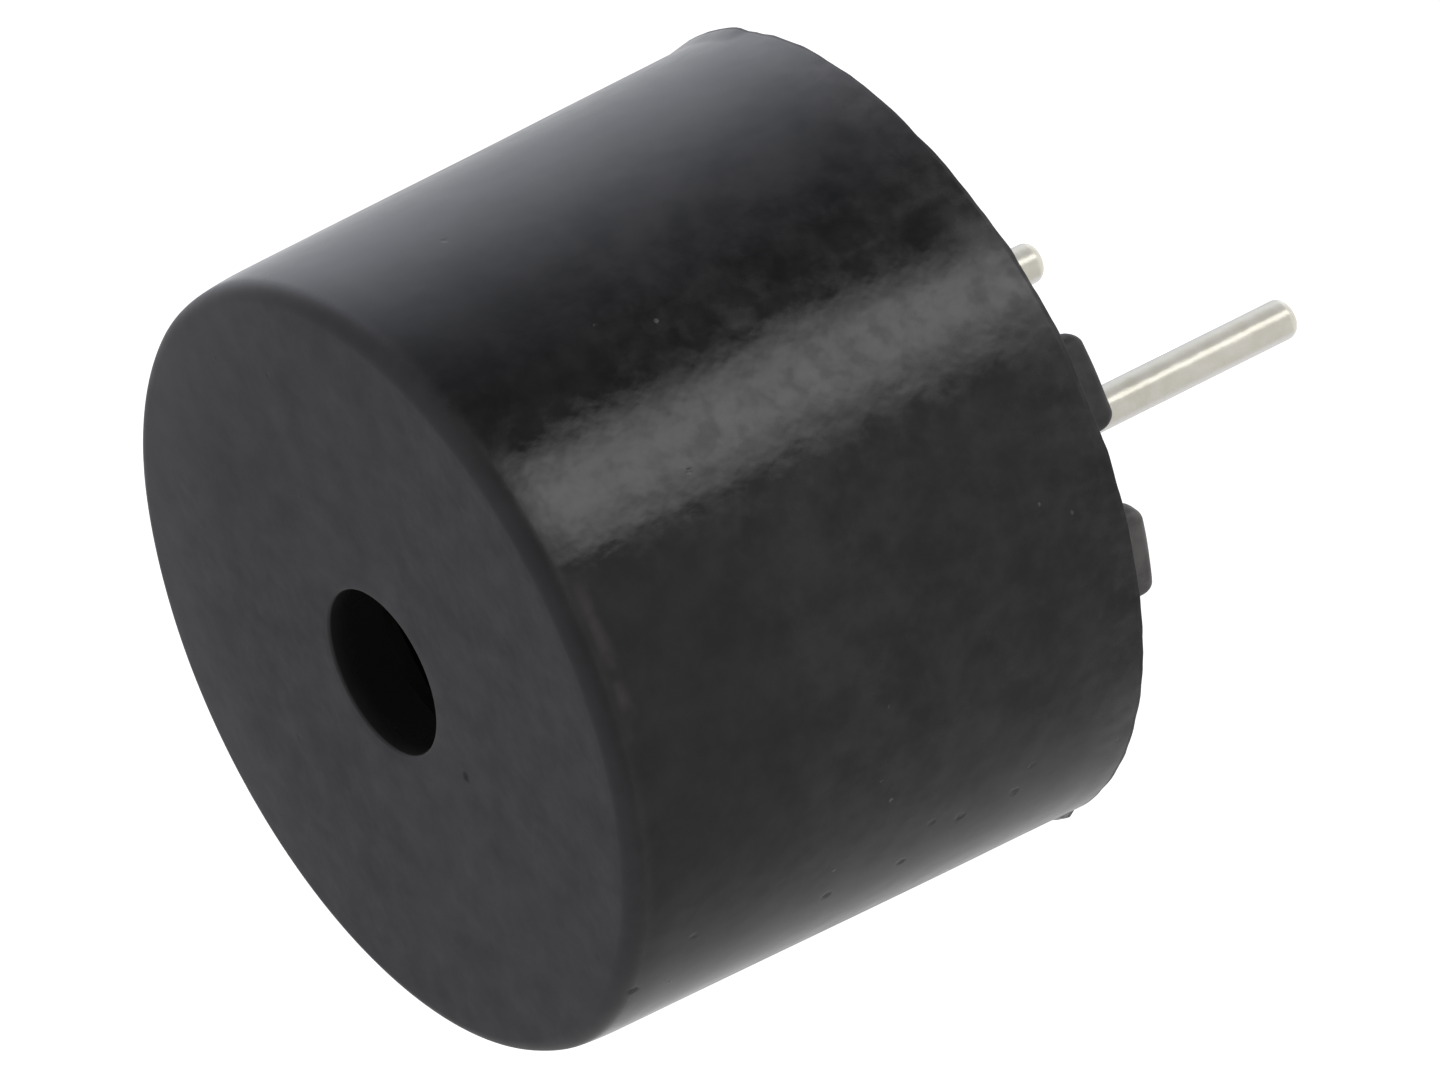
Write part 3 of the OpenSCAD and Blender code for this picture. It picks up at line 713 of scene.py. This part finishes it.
def housing_points():
    """The housing's surface: its section turned round the axis, with the feet drawn out of the rim."""
    outer, foot, inner = outer_rows(), np.array(foot_rows()), inner_rows()
    section = np.array(outer + [tuple(p) for p in foot] + inner)
    before, after = len(outer), len(outer) + len(foot)
    # away from the feet their rows lie flat on the rim and the mouth's chamfer
    run = np.concatenate([[0], np.cumsum(np.linalg.norm(np.diff(foot, axis=0), axis=1))])
    flat_r = FOOT_OUT - (FOOT_OUT - FOOT_IN) * run / run[-1]
    flat_z = RIM_Z + np.maximum(0, BORE_R + CHAMFER - flat_r)
    cols = housing_columns()
    points = np.zeros((len(section), len(cols), 3))
    for j, (foot_at, angle, offset) in enumerate(cols):
        on_foot = foot_at is not None and abs(offset) <= FOOT_HALF + 1e-6
        for i, (r, z) in enumerate(section):
            foot_row = before <= i < after
            if foot_row and on_foot:
                z = foot_level(r, z, offset)
            elif foot_row:
                r, z = flat_r[i - before], flat_z[i - before]
            if foot_at is None:
                turn = math.radians(angle)
            else:
                u = offset
                if before - 3 <= i < after + 1:
                    r, u = foot_plan(r, u)
                turn = math.radians(foot_at) + math.asin(u / min(max(r, BORE_R), RIM_R))
            x, y = math.cos(turn), math.sin(turn)
            r, z = worn(r, z, x, y, math.degrees(turn))
            if foot_row and z < RIM_Z - 0.05:
                z += 0.006 * (1 + wobble(r * x, r * y, 0, 0.35, 6.1)) * smooth(RIM_Z - z, 0.05, 0.3)
            points[i, j] = (r * x, r * y, z)
    return points


stand_in(grid_object("housing_shell", housing_points(), loop_rows=True), "housing", "housing_plastic")


# ---------------------------------------------------------------- leads, solder and adhesive

def lead_points(seed):
    """A headed wire: rounded tip with a slightly slanted cut, straight wire, shank, head."""
    rows = arc(LEAD_R - TIP_R, TIP_Z + TIP_R, TIP_R, -90, 0, 9)
    rows += line((LEAD_R, TIP_Z + TIP_R), (LEAD_R, COPPER_Z), 40) + [(LEAD_R, COPPER_Z)]
    rows += [(LEAD_R + SHANK, COPPER_Z), (LEAD_R + SHANK, BOARD_TOP), (HEAD_R, BOARD_TOP), (HEAD_R, HEAD_Z)]
    cut_z = TIP_Z + CUT_REACH

    def ring_at(x, y, angle):
        slant = (1 + math.cos(angle - seed)) / 2
        for r, z in rows:
            up = CUT_HEIGHT * smooth(cut_z - z, 0.0, CUT_REACH) * slant if z < cut_z else 0.0
            thin = 0.002 * (1 + wobble(x, y, z, 0.9, seed)) if z < COPPER_Z - 0.1 else 0.0
            yield r - thin, z + up

    return turned_points(len(rows), 72, ring_at)


def lead_solder_points(seed):
    """A fillet that climbs the lead: its foot on the copper and its top edge both wander a little."""
    steps, overlap, hollow = 18, 0.01, 1.15

    def ring_at(x, y, angle):
        reach = FILLET_REACH + 0.035 * wobble(x, y, 0, 0.8, seed)
        climb = FILLET_CLIMB + 0.06 * wobble(x, y, 5, 0.9, seed + 3)
        ring = [(LEAD_R - overlap, COPPER_Z), (LEAD_R + reach, COPPER_Z)]
        for a in np.radians(np.linspace(0, 90, steps)):
            r = LEAD_R + reach * (1 - math.sin(a)) ** hollow + 0.004
            ring.append((r, COPPER_Z - 0.012 - climb * (1 - math.cos(a)) ** hollow))
        return ring + [(LEAD_R - overlap, ring[-1][1])]

    return turned_points(steps + 3, 72, ring_at)


def dome_points(seed):
    """A small dome of solder over a coil wire's end, a little off centre, with the wire's end under its skin."""
    steps = 14

    def ring_at(x, y, angle):
        width = DOME_R * (1 + 0.06 * wobble(x, y, 0, 0.8, seed))
        for f in np.arange(steps) / steps:
            a = f * math.pi / 2
            height = DOME_H * math.sin(a) ** 0.9 + DOME_NUB * smooth(f, 0.75, 0.95)
            yield width * math.cos(a), COPPER_Z - height

    points = turned_points(steps, 48, ring_at)
    points[:, :, :2] += np.outer(np.arange(steps) / steps, DOME_SHIFT)[:, None, :]
    return points


def bead_points():
    """Sealing adhesive: a meniscus from the board's face up the bore, with a wandering inner edge."""
    steps = 16

    def ring_at(x, y, angle):
        x, y = 5 * x, 5 * y
        reach = BEAD_REACH + 0.10 * wobble(x, y, 0, 1.5, 5.5) + 0.04 * wobble(x, y, 0, 0.4, 8.5)
        climb = BEAD_CLIMB + 0.07 * wobble(x, y, 9, 1.8, 2.2)
        ring = [(BORE_R, BOARD_Z + SEAL_UP), (BOARD_R, BOARD_Z + SEAL_UP), (BOARD_R, BOARD_Z),
                (BORE_R - reach, BOARD_Z)]
        for a in np.radians(np.linspace(0, 90, steps)):
            ring.append((BORE_R - reach * (1 - math.sin(a)) - 0.002, BOARD_Z - 0.015 - climb * (1 - math.cos(a))))
        ring[-1] = (BORE_R, ring[-1][1])
        return ring

    return turned_points(steps + 4, 288, ring_at)


def turned_cap(row, x, y, turn, middle):
    """A cap for grid_object whose middle is placed as the points are."""
    return row, place(np.array([middle]), x, y, turn)[0]


SIDES = (("positive", 0), ("negative", 180))    # the negative lead is the positive one, turned round the axis
for (name, turn), seed in zip(SIDES, (1.1, 2.6)):
    caps = [turned_cap(row, LEAD_X, 0, turn, (0, 0, z)) for row, z in ((0, TIP_Z + 0.012), (1, HEAD_Z))]
    wire = grid_object(f"lead_{name}_wire", place(lead_points(seed), LEAD_X, 0, turn), caps=caps)
    stand_in(wire, f"lead_{name}", "tinned_wire")

for (name, turn), seed in zip(SIDES, (0.7, 3.9)):
    points = place(lead_solder_points(seed), LEAD_X, 0, turn)
    stand_in(grid_object(f"lead_solder_{name}_fillet", points, loop_rows=True), f"lead_solder_{name}", "solder")
    caps = [turned_cap(1, *WIRE_AT, turn, (*DOME_SHIFT, COPPER_Z - DOME_H - DOME_NUB - 0.002)),
            turned_cap(0, *WIRE_AT, turn, (0.0, 0.0, COPPER_Z))]
    dome = grid_object(f"wire_solder_{name}_dome", place(dome_points(seed), *WIRE_AT, turn), caps=caps)
    stand_in(dome, f"wire_solder_{name}", "solder")

stand_in(grid_object("sealing_bead_ring", bead_points(), loop_rows=True), "sealing_bead", "adhesive")


# ---------------------------------------------------------------- the other CAD nodes keep their shape

SLOTS = {
    "circuit_board": "board_laminate", "pad_positive": "copper", "pad_negative": "copper",
    "yoke_plate": "plated_steel", "pole_core": "plated_steel", "magnet_ring": "ferrite",
    "bobbin": "bobbin_plastic", "coil_winding": "enamelled_copper",
    "coil_wire_positive": "enamelled_copper", "coil_wire_negative": "enamelled_copper",
    "support_ring": "blackened_steel", "diaphragm": "spring_steel", "diaphragm_weight": "plated_steel",
}
for node, slot in SLOTS.items():
    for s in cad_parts[node].material_slots:
        s.material = looks[slot]


# ---------------------------------------------------------------- light, floor and camera

def studio_world():
    """A soft white studio. Round the object stand broad white panels, with a bright strip and a dark gap between
    them. To the camera itself the studio is plain white."""
    world = bpy.data.worlds.new("studio")
    world.use_nodes = True
    net = Net(world.node_tree)
    x, y, z = net.axes("Generated")
    flat = net.math("SQRT", net.plus(net.times(x, x), net.times(y, y), 1e-6))

    def facing(azimuth):
        """1 towards an azimuth, down to -1 on the other side."""
        return net.math("DIVIDE", net.along(x, y, azimuth), flat)

    def broad(azimuth, width, strength):
        """A light that fades on both sides of its azimuth."""
        tight = 1 / math.radians(width) ** 2
        return net.times(strength, net.math("EXPONENT", net.times(tight, net.less(facing(azimuth), 1.0))))

    def panel(azimuth, half_width, soft, strength):
        """An even panel with soft edges."""
        lo, hi = (math.cos(math.radians(half_width + side * soft)) for side in (1, -1))
        return net.step(facing(azimuth), lo, hi, 0.0, strength)

    def strip(azimuth, half_width, strength):
        """A narrow light, brightest in its middle."""
        narrow = {"Value": facing(azimuth), "From Min": math.cos(math.radians(half_width)), "From Max": 1.0,
                  "To Max": strength}
        return net.put("ShaderNodeMapRange", narrow).outputs[0]

    # the walls, up to a little over the horizon
    wide = net.plus(panel(-27.6, 80.5, 40, 0.54), broad(-78, 24, -0.12), broad(-127, 15, 0.07))
    short = net.times(strip(41.4, 18.4, 2.4), net.step(z, -0.42, -0.06, 1.0, 0.0))
    walls = net.joined(
        net.scaled((1.03, 1.0, 0.995), wide),
        net.scaled((1.0, 0.995, 0.99), short),
        net.scaled((0.95, 0.98, 1.08), broad(138, 29, 1.13)),
        net.scaled((1.0, 1.0, 1.0), broad(208, 31, 0.60)),
    )
    walls = net.scaled(walls, net.step(z, -0.92, -0.62, 0.25, 1.0))
    walls = net.joined(walls, net.scaled((1.0, 1.0, 0.98), net.step(z, -0.55, -0.85, 0.0, 0.6)))
    # the ceiling, brighter on one side
    lean = net.times(math.sqrt(0.5), net.plus(net.along(x, y, 200.7), z))
    ceiling = net.scaled((1.02, 0.995, 1.06), net.step(lean, -0.5, 0.5, 0.20, 0.53))
    light = net.blend(net.step(z, -0.10, 0.30), walls, ceiling)
    seen = net.put("ShaderNodeLightPath").outputs["Is Camera Ray"]
    background = net.put("ShaderNodeBackground", {"Color": net.blend(seen, light, (1.05, 1.05, 1.05, 1))})
    net.put("ShaderNodeOutputWorld", {"Surface": background.outputs[0]})
    bpy.context.scene.world = world


def build_floor():
    """A plain pale floor, well below the object. It can be seen only from above."""
    half, z = 2.0, -0.040                       # metres
    mesh = bpy.data.meshes.new("floor")
    mesh.from_pydata([(-half, -half, z), (half, -half, z), (half, half, z), (-half, half, z)], [], [(0, 1, 2, 3)])
    floor = bpy.data.objects.new("floor", mesh)
    bpy.context.scene.collection.objects.link(floor)
    m = bpy.data.materials.new("pale_floor")
    m.use_nodes = True
    net = Net(m.node_tree)
    pale = net.put("ShaderNodeBsdfPrincipled", {"Base Color": (0.86, 0.86, 0.86, 1), "Roughness": 0.9,
                                                "Emission Color": (1, 1, 1, 1), "Emission Strength": 0.75})
    clear = net.put("ShaderNodeBsdfTransparent")
    below = net.put("ShaderNodeNewGeometry").outputs["Backfacing"]
    both = net.put("ShaderNodeMixShader", {0: below, 1: pale.outputs[0], 2: clear.outputs[0]})
    net.put("ShaderNodeOutputMaterial", {"Surface": both.outputs[0]})
    mesh.materials.append(m)
    floor.visible_glossy = False


AZIMUTH, ELEVATION, ROLL = (math.radians(v) for v in (20.700, 26.497, 116.379))     # the photograph's viewing angle
AIM, DISTANCE = Vector((0.6166, -0.2237, 3.8538)), 320.195     # the point in the middle of the view, and how far it is
LENS, SENSOR = 576.0, 36.0


def place_camera():
    """A camera that sees the object as the photograph does."""
    camera = bpy.data.objects.new("camera", bpy.data.cameras.new("camera"))
    bpy.context.scene.collection.objects.link(camera)
    out = math.cos(ELEVATION)
    back = Vector((math.cos(AZIMUTH) * out, math.sin(AZIMUTH) * out, math.sin(ELEVATION)))
    level = Vector((-math.sin(AZIMUTH), math.cos(AZIMUTH), 0))
    upright = back.cross(level)
    right = math.cos(ROLL) * level - math.sin(ROLL) * upright
    up = math.sin(ROLL) * level + math.cos(ROLL) * upright
    turned = Matrix((right, up, back)).transposed().to_4x4()
    camera.matrix_world = Matrix.Translation(AIM * MM + back * DISTANCE * MM) @ turned
    camera.data.lens = LENS
    camera.data.sensor_width = SENSOR
    bpy.context.scene.camera = camera


studio_world()
build_floor()
place_camera()
bpy.context.scene.view_settings.view_transform = "Standard"
